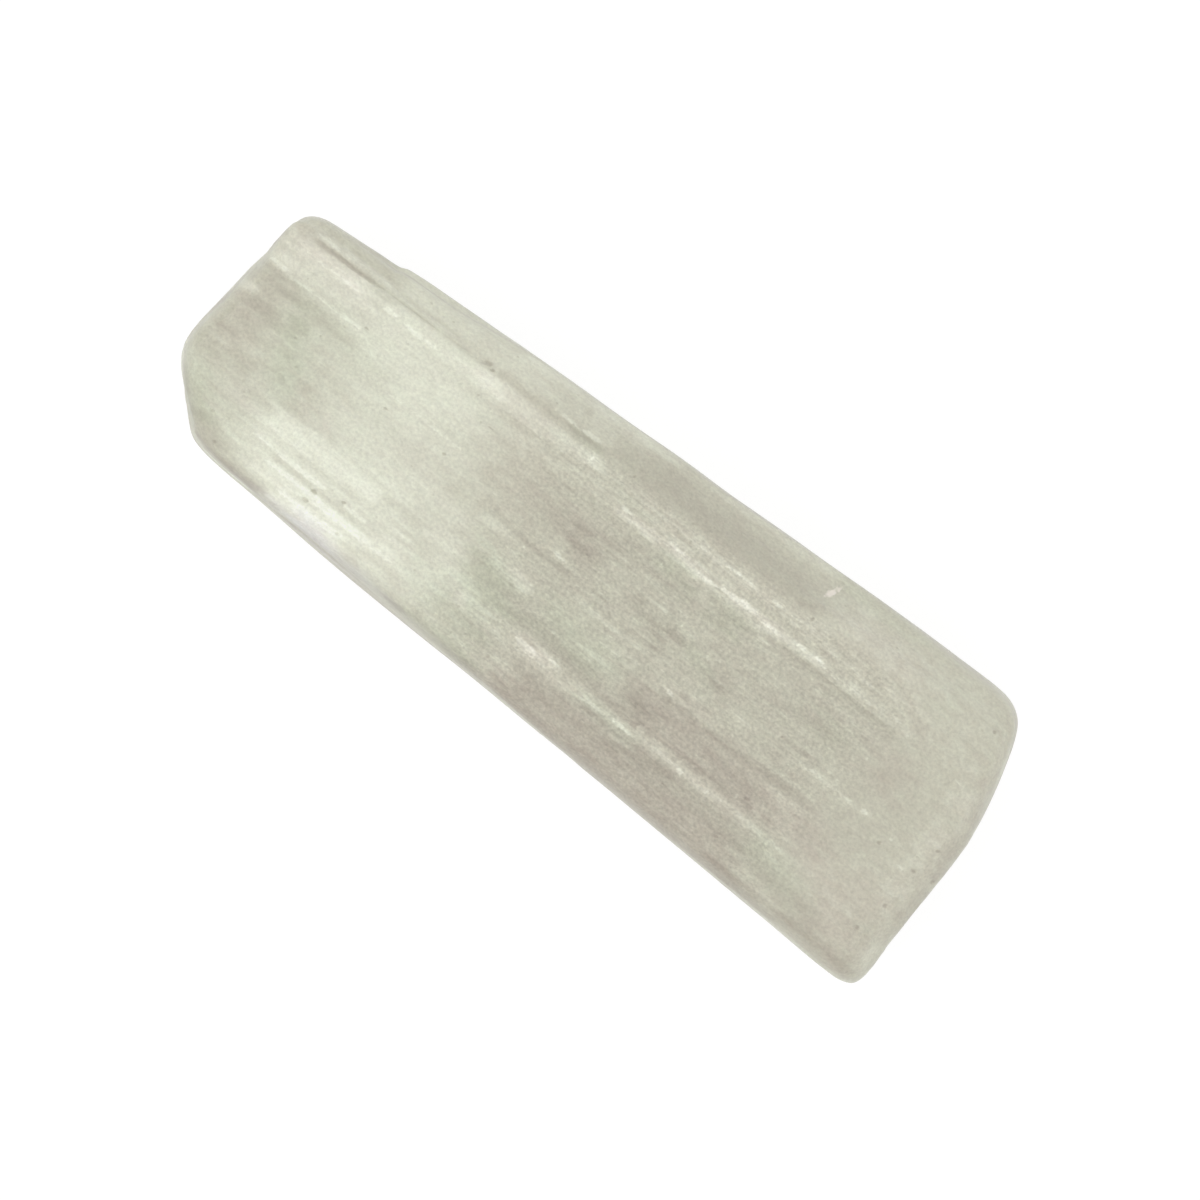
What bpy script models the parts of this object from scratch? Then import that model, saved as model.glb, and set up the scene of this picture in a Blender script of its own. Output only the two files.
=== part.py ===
"""A tumbled wand of satin spar selenite, lying on its flat underside.

The wand split along its fibres from a seam, was cut to length across them, and was then tumbled, which
rounded its edges. It is one solid: flat cleavage faces and bevels, softened where they meet, with shallow
ledges where splinters came away and long flutes along the fibres.

Metres, +Z up. +X runs along the fibres from the narrow end to the wide end, and +Y is the bevelled side.
The origin is below the middle of the wand, on the surface that it rests on.
"""

import math

import bmesh
import bpy
from mathutils import Vector, noise

MM = 0.001

# Driving sizes, in millimetres
LENGTH = 75.0
WIDTH = 26.6
THICKNESS = 15.4
ROUNDING = 0.5  # how far tumbling has softened the edges; a square edge gets about 2.4 times this radius
ROUNDING_SPREAD = 0.6  # how unevenly: the share by which the rounding varies from place to place
ROUNDING_PATCH = 11.0  # the size of a patch of even rounding
TOP = THICKNESS
WAIST = 0.47 * THICKNESS  # the height at which the wand is widest

# The cleavage faces, end cuts and bevels that bound the wand. Each is a flat face given by the way it
# looks (its bearing from +X towards +Y, and its tilt up from level, in degrees) and a point on it.
FACES = {
    "front side": (-91.8, 3.0, (2.5, -12.35, WAIST)),
    "front side below": (-91.2, -7.0, (2.5, -13.1, WAIST)),
    "back side, narrow half": (93.4, -1.0, (-18.0, 10.82, WAIST)),
    "back side, wide half": (89.9, 4.0, (12.0, 13.6, WAIST)),
    "back side below": (93.1, -12.0, (0.0, 13.3, 4.2)),
    "narrow end": (175.0, 3.0, (-37.02, 1.0, WAIST)),
    "narrow end below": (171.5, -9.0, (-37.6, 2.1, WAIST - 1.0)),
    "narrow end corner": (223.9, 4.0, (-34.74, -8.47, WAIST)),
    "narrow end back edge": (136.0, 4.0, (-35.84, 9.56, WAIST)),
    "wide end": (-0.8, -2.0, (37.56, -4.0, WAIST)),
    "wide end, back half": (17.4, 2.0, (36.61, 7.5, WAIST)),
    "wide end corner": (53.2, 3.0, (34.97, 12.37, WAIST)),
    "wide end front edge": (-46.0, 3.0, (37.36, -13.23, WAIST)),
    "top": (-96.0, 88.7, (0.0, 0.0, TOP)),
    "top towards the wide end": (-25.0, 87.2, (13.0, -1.0, TOP - 0.1)),
    "top towards the narrow end": (170.0, 87.6, (-20.0, 0.0, TOP)),
    "front bevel": (-91.5, 40.0, (0.0, -10.7, TOP)),
    "front bevel, narrow half": (-95.0, 58.0, (-24.0, -8.8, TOP)),
    "back bevel": (91.0, 48.0, (0.0, 8.35, TOP)),
    "narrow end bevel": (176.0, 52.0, (-35.4, 0.0, TOP)),
    "narrow corner bevel": (222.0, 46.0, (-33.2, -7.0, TOP)),
    "wide end bevel": (-3.0, 41.0, (34.4, -4.0, TOP)),
    "wide corner bevel": (45.0, 48.0, (31.8, 10.2, TOP)),
    "underside": (0.0, -90.0, (0.0, 0.0, -0.3)),
    "front underbevel": (-90.0, -52.0, (0.0, -10.0, 0.0)),
    "back underbevel": (92.0, -40.0, (0.0, 9.4, 0.0)),
    "narrow underbevel": (183.0, -44.0, (-34.6, 0.0, 0.0)),
    "narrow corner underbevel": (228.0, -50.0, (-31.6, -8.4, 0.0)),
    "wide underbevel": (3.0, -52.0, (35.2, 0.0, 0.0)),
}

# Ledges along the fibres, where a sliver came away or a layer stands proud, and between bundles of fibres
# that broke at different lengths at the two ends. Each has the side it is on, the stretch that it covers
# (of X on the top and the long sides, of Z at the ends), where its edge runs at the start and finish of
# that stretch (Y on the top and the ends, Z on the long sides), and how far the surface rises past it.
LEDGES = (
    ("top", -46.0, -15.0, 8.05, 8.55, -0.42),
    ("top", -46.0, -25.0, 4.35, 4.6, 0.20),
    ("top", -30.0, -13.0, -4.4, -4.0, -0.14),
    ("top", -8.0, 24.0, 5.5, 5.7, 0.16),
    ("top", -6.0, 27.0, -7.5, -7.1, -0.16),
    ("front", -34.5, 39.8, 5.0, 6.4, 0.24),
    ("front", -46.0, -4.0, 10.4, 9.9, -0.06),
    ("back", -14.0, 46.0, 8.8, 7.6, -0.08),
    ("back", -46.0, 6.0, 3.6, 4.3, 0.26),
    ("narrow end", -5.0, 20.0, 3.4, 3.8, -0.12),
    ("narrow end", 7.5, 20.0, -3.4, -2.2, -0.10),
    ("wide end", -5.0, 6.0, -7.2, -5.6, -0.10),
    ("wide end", 8.0, 20.0, 2.2, 4.2, -0.06),
)
LEDGE_EDGE = 0.5  # the width over which a ledge's edge rises
LEDGE_FADE = 7.0  # the length over which a ledge along the wand dies out into the surface
END_LEDGE_FADE = 3.0  # the height over which a ledge on an end dies out

# The sliver that is missing from the back side at the narrow end, which notches the outline
SLIVER_END = -27.1
SLIVER_DEPTH = 0.31
SLIVER_TAPER = 0.017  # how much deeper it gets with each millimetre towards the end

# Shallow chips at the edges: centre and radius of the ball that the chip follows
CHIPS = (
    ((-40.0, 3.2, 15.0), 3.9),
    ((-38.0, 9.4, -1.6), 3.6),
    ((40.9, 5.6, 14.6), 4.3),
    ((39.5, -14.2, 1.0), 3.4),
    ((17.2, 14.6, 14.2), 3.1),
    ((-22.0, -14.9, 0.0), 3.3),
)

# Flutes of the surface, with a crest between each two: length along the fibres, breadth across them, and
# height. The top split more evenly than the sides, and its flutes are lower; so are those of the cut ends.
FLUTES = ((46.0, 7.0, 0.24), (26.0, 3.1, 0.12))
TOP_FLUTES = 0.45
END_FLUTES = 0.20

# The grid that the skin is made from: cells along X, Y and Z, and how far the round rim reaches in
CELLS = (33, 33, 20)
RIM = 6.2
END_CROWDING = 0.45  # how much smaller the cells get towards the two ends
SEARCH_REACH = 16.0  # from the core outwards, further than any skin point
SEARCH_STEPS = 30


def looking(bearing, tilt):
    """The outward direction of a face."""
    b, t = math.radians(bearing), math.radians(tilt)
    return Vector((math.cos(t) * math.cos(b), math.cos(t) * math.sin(b), math.sin(t)))


PLANES = [(looking(b, t), looking(b, t).dot(Vector(p))) for b, t, p in FACES.values()]


def ease(value, start, end):
    """0 before start, 1 past end, and smooth in between."""
    share = min(1.0, max(0.0, (value - start) / (end - start)))
    return share * share * (3.0 - 2.0 * share)


def ledge_height(p, side, first, last, edge_first, edge_last, height):
    """How far one ledge raises the surface at p."""
    along, across, fade = p.x, p.z, LEDGE_FADE
    if side == "top":
        across, facing = p.y, ease(p.z, TOP - 5.5, TOP - 4.0)
    elif side == "front":
        facing = ease(-p.y, 8.5, 10.0)
    elif side == "back":
        facing = ease(p.y, 8.0, 9.5)
    else:
        along, across, fade = p.z, p.y, END_LEDGE_FADE
        facing = ease(-p.x if side == "narrow end" else p.x, 34.0, 36.0)
    share = min(1.0, max(0.0, (along - first) / (last - first)))
    edge = edge_first + (edge_last - edge_first) * share
    reach = ease(along, first, first + fade) * (1.0 - ease(along, last - fade, last))
    half = LEDGE_EDGE / 2.0
    return height * facing * reach * ease(across, edge - half, edge + half)


def sliver_height(p):
    """The missing sliver at the narrow end of the back side."""
    depth = SLIVER_DEPTH + SLIVER_TAPER * max(0.0, SLIVER_END - p.x)
    return -depth * (1.0 - ease(p.x, SLIVER_END - 0.7, SLIVER_END + 0.9)) * ease(p.y, 8.2, 9.6)


def flute_height(p):
    """The long shallow flutes that the fibres leave in the surface, with crests between them."""
    total = 0.0
    for length, breadth, height in FLUTES:
        wave = noise.noise(Vector((p.x / length + 3.1, p.y / breadth + 1.7, p.z / breadth + 5.3)))
        total += height * (0.5 - 2.0 * abs(wave))
    on_top = ease(p.z, TOP - 2.2, TOP - 0.8)
    at_end = ease(abs(p.x), 34.5, 36.5)
    return total * (1.0 - (1.0 - TOP_FLUTES) * on_top) * (1.0 - (1.0 - END_FLUTES) * at_end)


def rounding(p):
    """How far tumbling has softened the edges at p."""
    wave = noise.noise(p / ROUNDING_PATCH + Vector((7.7, 2.1, 4.9)))
    return ROUNDING * (1.0 + ROUNDING_SPREAD * wave)


def relief(p):
    """How far the surface at p stands outside the plain softened faces."""
    ledges = sum(ledge_height(p, *ledge) for ledge in LEDGES)
    return ledges + sliver_height(p) + flute_height(p)


def outside(p):
    """Above 0 outside the wand, below 0 inside it, and 0 on its skin."""
    heights = [normal.dot(p) - reach for normal, reach in PLANES]
    heights += [radius - (p - Vector(centre)).length for centre, radius in CHIPS]
    highest = max(heights)
    soft = rounding(p)
    total = sum(math.exp((h - highest) / soft) for h in heights)
    return highest + soft * math.log(total) - relief(p)


def skin_point(corner):
    """Moves one point of the box out or in, away from the core, until it lies on the skin."""
    half = Vector((LENGTH / 2.0, WIDTH / 2.0, THICKNESS / 2.0))
    middle = Vector((0.0, 0.0, THICKNESS / 2.0))
    offset = corner - middle
    core = Vector([min(h - RIM, max(RIM - h, o)) for o, h in zip(offset, half)])
    start = middle + core
    way = (offset - core).normalized()
    near, far = 0.0, SEARCH_REACH
    for _ in range(SEARCH_STEPS):
        between = (near + far) / 2.0
        if outside(start + way * between) < 0.0:
            near = between
        else:
            far = between
    return start + way * near


def crowded(share):
    """Moves a place along the wand, from -1 to 1, towards the nearer end."""
    return share * (1.0 - END_CROWDING) + END_CROWDING * math.sin(share * math.pi / 2.0)


def box_grid(bm):
    """A cube primitive of the wand's size, cut into cells along each of its axes."""
    bmesh.ops.create_cube(bm, size=2.0)
    for axis, cells in enumerate(CELLS):
        edges = [
            e for e in bm.edges
            if abs(e.verts[0].co[axis] - e.verts[1].co[axis]) > 1.9
        ]
        bmesh.ops.subdivide_edges(bm, edges=edges, cuts=cells - 1, use_grid_fill=True)
    for v in bm.verts:
        x, y, z = v.co
        v.co = Vector((
            crowded(x) * LENGTH / 2.0,
            y * WIDTH / 2.0,
            (z + 1.0) * THICKNESS / 2.0,
        ))


def flatten_underside(bm):
    """Grinds the wand level where it rests, so that it has one flat face to lie on."""
    for v in bm.verts:
        v.co.z = max(0.0, v.co.z)


def centre_over_origin(bm):
    """Puts the middle of the wand's box over the origin, and its underside at zero."""
    lowest = Vector([min(v.co[axis] for v in bm.verts) for axis in range(3)])
    highest = Vector([max(v.co[axis] for v in bm.verts) for axis in range(3)])
    middle = (lowest + highest) / 2.0
    bmesh.ops.translate(bm, verts=bm.verts, vec=Vector((-middle.x, -middle.y, -lowest.z)))


def selenite_material():
    """Milky, silky and slightly see-through greenish white."""
    material = bpy.data.materials.new("satin_spar")
    material.use_nodes = True
    shader = material.node_tree.nodes["Principled BSDF"]
    shader.inputs["Base Color"].default_value = (0.58, 0.565, 0.47, 1.0)
    shader.inputs["Roughness"].default_value = 0.42
    shader.inputs["Metallic"].default_value = 0.0
    shader.inputs["IOR"].default_value = 1.52
    shader.inputs["Subsurface Weight"].default_value = 0.6
    shader.inputs["Subsurface Scale"].default_value = 2.0 * MM
    material.diffuse_color = (0.58, 0.565, 0.47, 1.0)
    return material


def selenite_wand(collection):
    """The whole wand, as one object."""
    bm = bmesh.new()
    box_grid(bm)
    for v in bm.verts:
        v.co = skin_point(v.co)
    flatten_underside(bm)
    centre_over_origin(bm)
    bmesh.ops.scale(bm, verts=bm.verts, vec=Vector((MM, MM, MM)))
    bmesh.ops.recalc_face_normals(bm, faces=bm.faces)
    mesh = bpy.data.meshes.new("selenite_wand")
    bm.to_mesh(mesh)
    bm.free()
    mesh.shade_smooth()
    mesh.set_sharp_from_angle(angle=math.radians(38.0))
    mesh.materials.append(selenite_material())
    wand = bpy.data.objects.new("selenite_wand", mesh)
    collection.objects.link(wand)
    return wand


def main():
    for obj in list(bpy.data.objects):
        bpy.data.objects.remove(obj, do_unlink=True)
    collection = bpy.data.collections.new("selenite_wand")
    bpy.context.scene.collection.children.link(collection)
    selenite_wand(collection)


main()
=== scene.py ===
"""The look of the selenite wand: a milky, silky stick of satin spar, tumbled smooth.

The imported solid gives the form. Its skin is laid again as one dense mesh, with the fibres' fine relief, and
the finish shows the fibres as streaks, clouds, veins and flecks. Sizes are in millimetres until they go on
to the mesh, which is in metres, as the frame is.
"""

import math

import bmesh
import bpy
import numpy as np
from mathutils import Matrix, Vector
from mathutils.bvhtree import BVHTree


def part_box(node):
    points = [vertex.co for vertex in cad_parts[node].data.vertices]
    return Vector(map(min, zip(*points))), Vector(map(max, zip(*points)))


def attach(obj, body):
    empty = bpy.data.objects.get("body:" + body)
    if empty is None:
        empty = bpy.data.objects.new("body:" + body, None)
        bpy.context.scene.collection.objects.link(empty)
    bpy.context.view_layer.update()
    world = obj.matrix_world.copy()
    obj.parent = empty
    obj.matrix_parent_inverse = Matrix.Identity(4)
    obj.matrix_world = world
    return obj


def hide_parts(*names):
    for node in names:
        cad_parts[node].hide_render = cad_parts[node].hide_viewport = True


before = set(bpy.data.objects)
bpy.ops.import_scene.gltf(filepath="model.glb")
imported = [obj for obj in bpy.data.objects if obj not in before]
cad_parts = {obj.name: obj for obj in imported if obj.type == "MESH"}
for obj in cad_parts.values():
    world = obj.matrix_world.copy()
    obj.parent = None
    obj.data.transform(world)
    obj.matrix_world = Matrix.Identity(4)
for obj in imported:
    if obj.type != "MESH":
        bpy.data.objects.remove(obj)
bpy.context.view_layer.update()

MM = 0.001
NODE = "selenite_wand"
LOW = np.array(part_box(NODE)[0]) / MM
HIGH = np.array(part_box(NODE)[1]) / MM
TOP = HIGH[2]
WAIST = 0.47 * TOP  # the height at which the wand is broadest, as in the solid

# The skin's grid: cells along X, Y and Z
CELLS = (236, 122, 50)
RIM = 6.2  # how far the round rim of the box reaches in, as in the solid
END_CROWDING = 0.45  # how much smaller the cells get towards the two ends, as in the solid

# Fine flutes and grooves of the fibres: length along them, breadth across them, and height
GROOVES = ((30.0, 2.3, 0.060), (17.0, 1.05, 0.034), (11.0, 0.55, 0.018))
# Low terraces, where the wand split from layer to layer: length and breadth of a tongue, and its step
TERRACES = ((44.0, 5.2, 0.085), (26.0, 2.4, 0.040))
BUNDLE_ENDS = ((2.6, 0.070), (1.1, 0.050), (0.6, 0.030))  # breadth and height of the broken bundles' ends
DIMPLES = 0.04  # the height of the soft unevenness that tumbling left all over
SMOOTHED_OUTLINE = 0.85  # how much of the relief the tumbling took off round the outline
SLIVER_END, SLIVER_STEP = -27.0, 0.09  # where the missing sliver ends at the back side, and its sharp edge
SLIVER_BACK = (8.6, 9.8)  # Y where that edge starts, and where it is full

# How strongly the threads show changes between these values of X and Y: where the milky third ends, where
# the calm wide end starts, and where the back starts
MILKY_END = (-14.0, -3.0)
CALM_START = (23.0, 30.0)
BACK_START = (7.9, 9.0)

# Seeds of the noises. The grooves, terraces and bundle ends count on from theirs.
RAGGED_SEED, WIDE_RAGGED_SEED, BORDER_SEED = 11, 13, 17
SEAM_SEED, LINE_SEED, SWAY_SEED, NICK_SEED = 12, 14, 15, 16
GROOVE_SEED, TERRACE_SEED, BUNDLE_SEED, DIMPLE_SEED = 20, 30, 40, 50
LATTICE = 64  # how many lumps a noise has along each axis before it repeats
NOISE_SHIFT = 1000.37  # keeps the borders of the lumps away from X 0 and Y 0

# Strokes on the top. Each is a streak or patch along the fibres: X of its two ends, Y at those ends, half
# its breadth, and its strength.
PALE_AND_SHEEN = (
    # the narrow third, lighter as a whole, and a few places past it
    (-40.0, -7.0, 0.5, 0.5, 12.0, 0.16),
    (-30.0, -12.0, 4.8, 4.2, 3.4, 0.34),
    (-26.0, -12.0, -0.2, -0.6, 2.4, 0.16),
    (-27.0, -9.0, -2.8, -3.4, 1.5, 0.20),
    (-14.5, -6.0, -7.2, -7.6, 2.6, 0.28),
    (-14.0, -7.0, -5.0, -5.2, 1.4, 0.14),
    (-27.0, -1.0, 10.0, 10.7, 1.5, 0.22),
    (-14.0, 1.0, 11.45, 11.95, 0.60, 0.20),
    (4.0, 16.5, 12.05, 12.45, 0.50, 0.20),
    # this stroke and the next paint the sheen on the front bevel as lighter tone
    (-24.0, -11.5, -11.4, -11.75, 0.55, 0.12),
    (-21.5, -14.0, -11.45, -11.7, 0.55, 0.12),
    (-33.0, -27.0, -2.4, -4.6, 1.7, 0.11),
    (-7.5, -2.8, -2.6, -4.4, 1.5, 0.16),
    (-33.5, -27.5, -6.8, -7.6, 1.3, 0.11),
    (-17.5, -13.0, -4.6, -4.9, 1.3, 0.08),
    (-12.5, -7.8, 5.0, 5.0, 1.1, 0.10),
    (-37.0, -33.0, 5.2, 5.2, 1.0, 0.12),
    (3.0, 12.0, 2.3, 2.3, 0.9, 0.09),
    # the silky sheen near the narrow end, painted into the colour as lighter tone
    (-29.6, -12.5, -5.90, -5.90, 1.60, 0.22),
    (-20.5, -14.0, -4.00, -4.00, 1.30, 0.10),
    (-30.5, -12.0, -8.20, -8.30, 2.10, 0.33),
    (-27.0, -15.0, -9.30, -9.40, 1.10, 0.30),
    (-25.0, -16.0, -10.3, -10.50, 0.70, 0.34),
    (-16.5, -8.0, -9.2, -9.4, 1.6, 0.18),
    # light bands under the ledge
    (-36.4, -26.0, 9.2, 9.8, 1.1, 0.12),
    (-36.9, -26.8, 6.2, 6.4, 1.8, 0.26),
    (-35.6, -26.8, 7.05, 7.05, 0.55, 0.10),
    (-37.0, -35.3, 1.65, 1.65, 0.45, 0.32),
    (-26.9, -15.6, 7.10, 7.05, 0.55, 0.18),
    (-26.0, -15.8, 7.78, 7.72, 0.34, 0.10),
    (-17.5, -13.6, 7.00, 6.85, 0.34, 0.12),
    (-16.0, -3.8, 7.40, 7.40, 0.85, 0.25),
    (-5.9, -5.1, 7.50, 7.50, 0.60, 0.26),
    (-6.0, 18.0, 7.75, 7.60, 0.60, 0.09),
    (-5.0, -3.0, 5.70, 5.70, 0.40, 0.16),
    # the feathery vein
    (-1.8, 19.6, 5.98, 5.86, 0.62, 0.13),
    (-1.8, 0.5, 6.02, 5.98, 0.42, 0.34),
    (0.0, 3.2, 5.90, 5.95, 0.42, 0.28),
    (2.8, 6.4, 6.10, 6.00, 0.50, 0.26),
    (6.2, 9.2, 5.70, 5.68, 0.46, 0.25),
    (8.8, 13.2, 5.92, 5.92, 0.58, 0.26),
    (12.6, 15.2, 5.78, 5.74, 0.46, 0.23),
    (16.0, 18.6, 6.05, 6.05, 0.40, 0.22),
    (18.1, 19.7, 6.22, 5.75, 0.38, 0.34),
    (19.5, 28.2, 5.72, 5.70, 0.36, 0.14),
    # between the vein and the front
    (-4.0, -1.4, 0.05, -0.25, 0.22, 0.30),
    (8.8, 10.4, 1.25, 1.25, 0.42, 0.26),
    (9.4, 10.5, -0.20, -0.20, 0.28, 0.20),
    (-9.5, -5.0, -1.35, -1.40, 0.40, 0.18),
    (-5.4, -2.6, -3.20, -3.60, 0.75, 0.14),
    (-1.0, 9.5, -2.05, -2.10, 0.42, 0.15),
    (9.5, 19.0, -2.10, -2.20, 0.80, 0.08),
    (10.3, 11.7, -3.30, -3.30, 0.30, 0.30),
    (0.0, 7.6, -3.40, -3.90, 1.10, 0.10),
    (21.2, 30.0, -1.45, -1.55, 0.55, 0.20),
    (21.4, 22.4, -2.35, -2.45, 0.40, 0.18),
    (28.5, 29.8, -1.30, -1.35, 0.36, 0.26),
    (23.5, 26.5, 0.30, -0.30, 0.60, 0.10),
    # the wispy line towards the front
    (-8.4, -2.6, -7.40, -7.60, 0.70, 0.16),
    (-2.6, 3.2, -7.45, -7.55, 0.55, 0.25),
    (1.0, 3.6, -7.05, -7.10, 0.28, 0.18),
    (4.2, 11.6, -7.85, -7.90, 0.45, 0.15),
    (11.6, 19.4, -7.30, -7.70, 0.52, 0.24),
    (19.4, 24.0, -7.30, -7.60, 0.50, 0.14),
    (22.4, 27.2, -7.80, -8.00, 0.60, 0.12),
    (6.6, 8.2, -10.9, -10.9, 0.42, 0.14),
    # the wide third
    (16.6, 34.5, 10.3, 10.3, 2.0, 0.10),
    (17.2, 26.0, 10.0, 9.8, 0.9, 0.06),
    (33.4, 35.7, 1.5, 1.5, 4.4, 0.14),
    (33.4, 35.8, -4.6, -4.6, 3.6, 0.11),
    (36.1, 37.3, -10.4, -10.4, 1.5, 0.22),
    (28.0, 36.0, 6.5, 6.0, 2.5, 0.05),
)
DULL_AND_RIM_SHADE = (
    # the narrow half
    (-36.4, -30.0, 9.35, 9.45, 0.45, 0.16),
    (-30.2, -26.0, 9.50, 9.60, 0.45, 0.14),
    (-36.9, -32.2, 3.20, 3.00, 1.05, 0.34),
    (-35.9, -31.6, 0.85, 0.80, 0.75, 0.52),
    (-36.9, -30.8, -0.75, -0.95, 0.90, 0.22),
    (-36.9, -34.4, -2.25, -2.40, 0.60, 0.34),
    (-37.2, -34.2, -4.00, -4.10, 0.70, 0.18),
    (-33.2, -26.0, 3.35, 3.00, 0.60, 0.24),
    (-31.8, -30.0, 1.60, 1.20, 1.10, 0.26),
    (-34.8, -30.4, -3.30, -3.30, 0.90, 0.18),
    (-31.5, -23.8, -1.90, -3.00, 1.40, 0.10),
    (-36.5, -33.0, -6.80, -8.60, 0.80, 0.22),
    (-34.5, -28.0, -8.80, -10.5, 0.90, 0.30),
    # this stroke and the next paint shade on the rim: along the front edge, and down the chamfer at the
    # narrow end
    (-33.6, -24.6, -10.80, -11.25, 0.72, 0.82),
    (-37.3, -32.6, -5.95, -10.2, 0.60, 0.34),
    (-35.6, -27.4, 9.85, 10.2, 0.34, 0.36),
    # these two paint shade along the front edge
    (-25.0, -10.5, -11.35, -11.55, 0.26, 0.42),
    (-11.0, -2.0, -11.3, -11.9, 0.55, 0.36),
    (-37.2, -30.5, -9.4, -10.2, 1.40, 0.22),
    (-28.5, -21.5, 2.4, 2.2, 0.90, 0.12),
    # the dark strip behind, up to the nick
    (-4.6, 16.5, 9.65, 9.80, 1.35, 0.40),
    (-12.0, -3.6, 10.1, 10.3, 1.30, 0.12),
    (-16.2, -4.8, 8.50, 8.55, 0.30, 0.20),
    (-9.2, -5.4, 8.60, 8.62, 0.24, 0.22),
    # the brown middle
    (-8.0, 34.0, -0.3, -0.3, 5.2, 0.18),
    (-13.5, -5.0, 3.0, 2.4, 2.6, 0.09),
    (-8.2, 0.6, 2.6, 2.2, 1.50, 0.30),
    (-4.6, -0.6, 2.75, 2.65, 0.40, 0.10),
    (-4.4, -0.4, 1.50, 1.25, 0.36, 0.10),
    (-7.4, 1.4, 4.65, 4.60, 0.45, 0.13),
    (-1.0, 8.0, 3.60, 3.30, 0.90, 0.16),
    (-8.0, 0.4, -0.80, -0.95, 0.36, 0.16),
    (0.5, 3.4, -0.50, -0.60, 0.40, 0.16),
    (3.2, 5.4, 1.05, 1.00, 0.42, 0.22),
    (3.6, 9.9, 0.50, 0.45, 0.34, 0.24),
    (5.4, 8.4, -0.40, -0.45, 0.30, 0.18),
    (6.8, 8.4, -1.30, -1.30, 0.22, 0.26),
    (11.2, 14.6, -0.65, -0.60, 0.40, 0.26),
    (14.6, 19.2, 1.30, 1.10, 0.55, 0.14),
    (12.0, 20.4, 0.50, -0.90, 0.40, 0.12),
    (1.0, 7.6, 4.60, 4.40, 0.50, 0.18),
    (8.6, 13.0, 4.20, 3.60, 0.80, 0.26),
    (14.6, 28.0, 5.05, 5.00, 0.42, 0.24),
    (18.4, 27.0, 3.20, 3.20, 0.30, 0.14),
    (18.0, 25.0, 2.00, 1.90, 0.70, 0.22),
    (19.4, 24.0, -0.60, -0.60, 0.32, 0.14),
    (26.0, 31.0, 2.40, 2.20, 1.40, 0.12),
    # green-grey and mauve-brown places towards the front, and a few elsewhere
    (-8.8, -2.0, -4.90, -5.60, 0.90, 0.26),
    (-3.4, 1.2, -5.60, -5.70, 0.90, 0.36),
    (1.0, 7.6, -5.90, -6.00, 0.55, 0.30),
    (6.6, 23.4, -5.40, -5.60, 1.30, 0.46),
    (7.0, 12.0, -5.80, -5.80, 0.60, 0.20),
    (9.4, 25.4, -3.90, -3.80, 0.40, 0.40),
    (23.0, 29.0, -5.60, -5.60, 1.20, 0.22),
    (2.0, 25.0, -6.80, -6.90, 0.50, 0.42),
    (11.0, 24.0, -8.55, -8.55, 0.50, 0.38),
    (-5.5, -1.0, -9.60, -10.2, 0.90, 0.24),
    (-1.4, 24.0, -10.1, -10.5, 1.35, 0.51),
    (4.8, 15.4, -8.50, -8.50, 0.26, 0.30),
    (8.0, 23.6, -9.20, -9.30, 0.50, 0.22),
    # The strokes from here on that run along the front rim, past Y -11.6, paint shade on the rim as well as
    # the mauve-brown
    (-7.0, 30.0, -12.0, -12.75, 1.05, 0.20),
    (-4.2, 27.6, -12.05, -12.7, 1.05, 0.24),
    (-1.4, 24.6, -12.1, -12.7, 1.05, 0.28),
    (22.0, 36.4, -12.3, -12.6, 0.70, 0.26),
    (-11.0, -2.0, -11.7, -12.0, 0.55, 0.10),
    (23.0, 33.0, -10.2, -10.8, 0.85, 0.34),
    (27.5, 36.6, -11.9, -12.1, 0.80, 0.36),
    (-2.0, 12.0, -10.0, -10.2, 1.60, 0.12),
    (6.5, 12.5, -7.2, -7.4, 1.10, 0.11),
    (22.5, 27.5, -7.4, -7.6, 1.10, 0.08),
    (-18.5, -12.5, 2.4, 2.3, 1.10, 0.08),
    (-19.0, -13.0, -7.3, -7.4, 1.00, 0.06),
    (32.5, 37.2, -8.6, -8.6, 2.60, 0.10),
    # the wide end's edge, darkened by painted shade on the rim
    (36.1, 37.6, 1.6, 1.6, 4.2, 0.30),
    (36.4, 37.6, -4.6, -4.6, 3.4, 0.26),
    (34.8, 36.6, 6.8, 6.4, 1.6, 0.16),
)
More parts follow.
